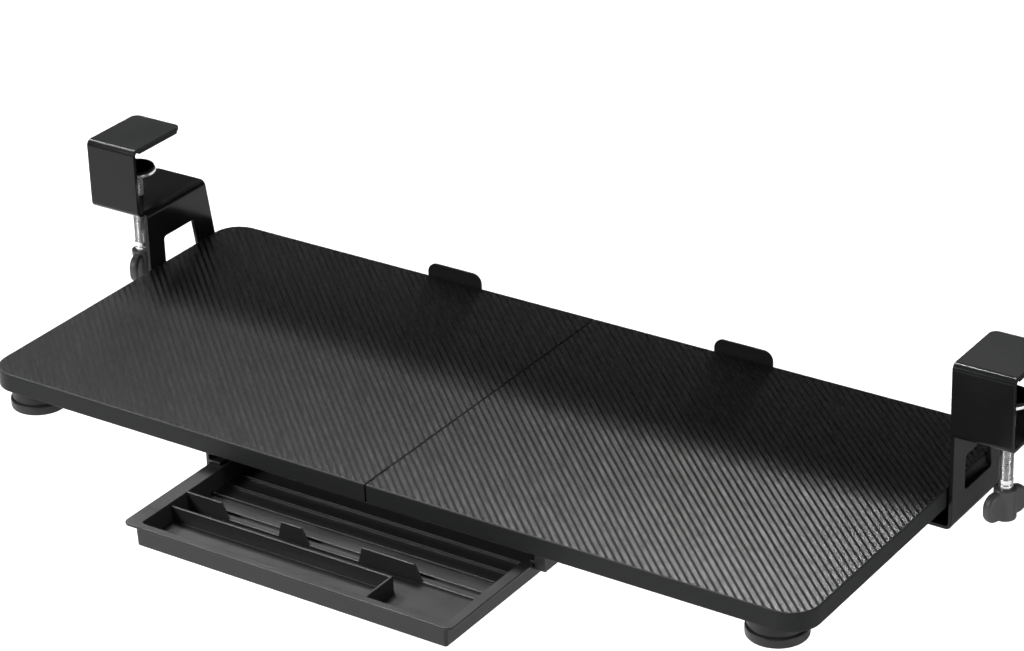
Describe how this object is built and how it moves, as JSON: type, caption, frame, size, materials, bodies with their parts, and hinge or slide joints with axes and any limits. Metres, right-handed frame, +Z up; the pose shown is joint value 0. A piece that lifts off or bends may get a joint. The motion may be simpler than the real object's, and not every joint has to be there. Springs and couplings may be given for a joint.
{
  "type": "clamp-on under-desk keyboard tray",
  "caption": "Two-board keyboard tray with a carbon-look top, a pull-out pencil drawer underneath and black steel screw clamps that hang it under a desk edge.",
  "frame": {"origin": "midway between the two clamps, on the desk top's upper face where its front edge stands", "axes": "+X to the user's right along the desk edge, +Y away from the user, +Z up"},
  "size_m": [0.804, 0.397, 0.1429],
  "materials": {
    "painted_steel": "satin black powder coat",
    "clamp_rubber": "matt moulded rubber",
    "zinc_steel": "bright zinc plate",
    "knob_plastic": "matt moulded nylon",
    "slide_steel": "black electro-coat",
    "glide_plastic": "low-friction moulding",
    "carbon_look_board": "twill-look black laminate on fibre board",
    "plate_steel": "black powder coat",
    "foot_rubber": "matt moulded rubber",
    "drawer_plastic": "fine-grained charcoal moulding",
    "runner_plastic": "fine-grained black moulding",
    "dowel_wood": "plain beech",
    "screw_steel": "black oxide"
  },
  "bodies": {
    "desk_clamps": {"left_clamp_bracket": "painted_steel", "right_clamp_bracket": "painted_steel", "left_jaw_pad": "clamp_rubber", "right_jaw_pad": "clamp_rubber", "left_clamp_nut": "zinc_steel", "right_clamp_nut": "zinc_steel", "left_slide_channel": "slide_steel", "right_slide_channel": "slide_steel", "left_glide_liner": "glide_plastic", "right_glide_liner": "glide_plastic", "channel_screws": "screw_steel"},
    "tray": {"left_board": "carbon_look_board", "right_board": "carbon_look_board", "seam_dowels": "dowel_wood", "front_joiner_plate": "plate_steel", "rear_joiner_plate": "plate_steel", "joiner_screws": "screw_steel", "left_slide_rail": "slide_steel", "right_slide_rail": "slide_steel", "rail_screws": "screw_steel", "rail_bumpers": "foot_rubber", "left_rear_stop": "plate_steel", "right_rear_stop": "plate_steel", "stop_screws": "screw_steel", "left_foot": "foot_rubber", "right_foot": "foot_rubber", "foot_screws": "screw_steel", "left_drawer_runner": "runner_plastic", "right_drawer_runner": "runner_plastic", "runner_screws": "screw_steel"},
    "drawer": {"drawer": "drawer_plastic"},
    "left_pad": {"left_pressure_disc": "zinc_steel", "left_pressure_pad": "clamp_rubber"},
    "left_screw": {"left_clamp_screw": "zinc_steel", "left_wing_knob": "knob_plastic"},
    "right_pad": {"right_pressure_disc": "zinc_steel", "right_pressure_pad": "clamp_rubber"},
    "right_screw": {"right_clamp_screw": "zinc_steel", "right_wing_knob": "knob_plastic"}
  },
  "joints": [
    {"name": "tray_slide", "type": "slide", "parent": "desk_clamps", "child": "tray", "axis": [0, 1, 0], "range_m": [0, 0.1511]},
    {"name": "drawer_slide", "type": "slide", "parent": "tray", "child": "drawer", "axis": [0, 1, 0], "range_m": [0, 0.1]},
    {"name": "left_pad_lift", "type": "slide", "parent": "desk_clamps", "child": "left_pad", "axis": [0, 0, 1], "range_m": [-0.0135, 0.0135]},
    {"name": "left_screw_turn", "type": "hinge", "parent": "left_pad", "child": "left_screw", "pos_m": [-0.3825, 0.03, -0.06], "axis": [0, 0, 1], "range_deg": [-3242, 3242]},
    {"name": "right_pad_lift", "type": "slide", "parent": "desk_clamps", "child": "right_pad", "axis": [0, 0, 1], "range_m": [-0.0135, 0.0135]},
    {"name": "right_screw_turn", "type": "hinge", "parent": "right_pad", "child": "right_screw", "pos_m": [0.3825, 0.03, -0.06], "axis": [0, 0, 1], "range_deg": [-3242, 3242]}
  ],
  "couplings": [
    {"joint": "left_screw_turn", "follows": "left_pad_lift", "rad_per_m": 4188.8},
    {"joint": "right_screw_turn", "follows": "right_pad_lift", "rad_per_m": 4188.8}
  ]
}
